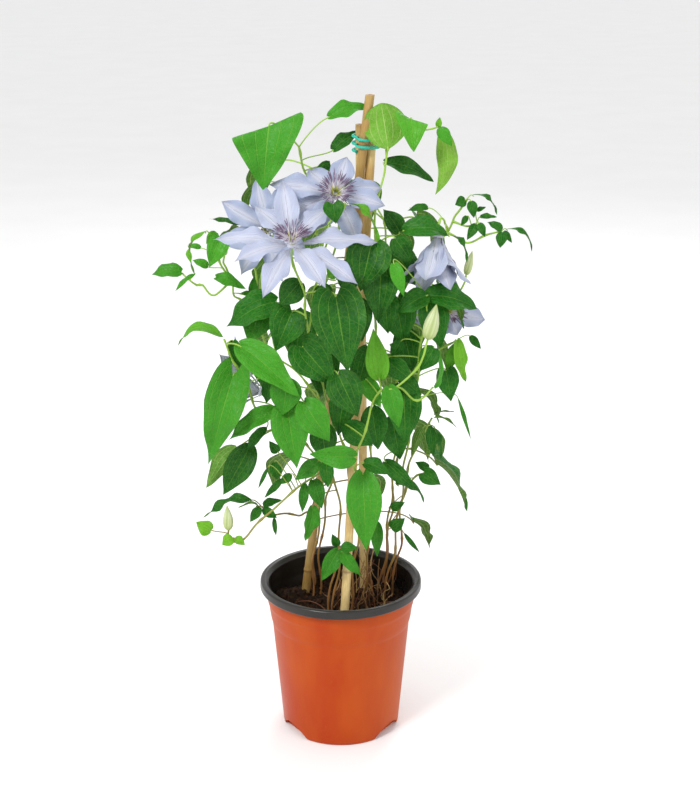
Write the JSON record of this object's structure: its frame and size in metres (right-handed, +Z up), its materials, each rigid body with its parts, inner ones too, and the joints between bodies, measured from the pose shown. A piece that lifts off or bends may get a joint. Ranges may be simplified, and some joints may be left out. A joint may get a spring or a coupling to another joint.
{
  "type": "potted clematis",
  "caption": "Clematis in bloom with pale blue flowers, leafy stems and buds, climbing a wigwam of tied bamboo canes in a round tapered nursery pot.",
  "frame": {"origin": "middle of the pot's underside, on the pot's upright axis; the plant's own middle lies within about 3 mm of that axis", "axes": "+Z up; -Y towards the front of the plant, where the largest flower faces; +X to the right as seen from the front"},
  "size_m": [0.3303, 0.2596, 0.59],
  "materials": {
    "pot_orange": "satin",
    "pot_black": "satin",
    "soil": "matte",
    "bamboo": "satin",
    "twine": "satin",
    "foliage": "satin",
    "stem": "satin",
    "petal": "matte",
    "stamen": "matte",
    "bud": "matte"
  },
  "bodies": {
    "root": {"pot": "pot_orange", "soil": "soil", "cane_back": "bamboo", "cane_front": "bamboo", "cane_left": "bamboo", "cane_tie": "twine", "shoot_back_left": "foliage", "shoot_back_right": "foliage", "shoot_bud": "foliage", "shoot_centre": "foliage", "shoot_centre_left": "foliage", "shoot_front_low": "foliage", "shoot_left_high": "foliage", "shoot_left_low": "foliage", "shoot_left_mid": "foliage", "shoot_right_high": "foliage", "shoot_right_low": "foliage", "shoot_right_mid": "foliage", "shoot_top": "foliage", "shoot_top_left": "foliage", "bloom_behind_petals": "petal", "bloom_behind_stamens": "stamen", "bloom_front_petals": "petal", "bloom_front_stamens": "stamen", "bloom_left_petals": "petal", "bloom_left_stamens": "stamen", "bloom_right_petals": "petal", "bloom_right_stamens": "stamen", "bloom_side_petals": "petal", "bloom_side_stamens": "stamen", "bloom_upper_petals": "petal", "bloom_upper_stamens": "stamen", "bud_front": "bud", "bud_left": "bud", "bud_low": "bud", "bud_right": "bud"}
  },
  "joints": []
}
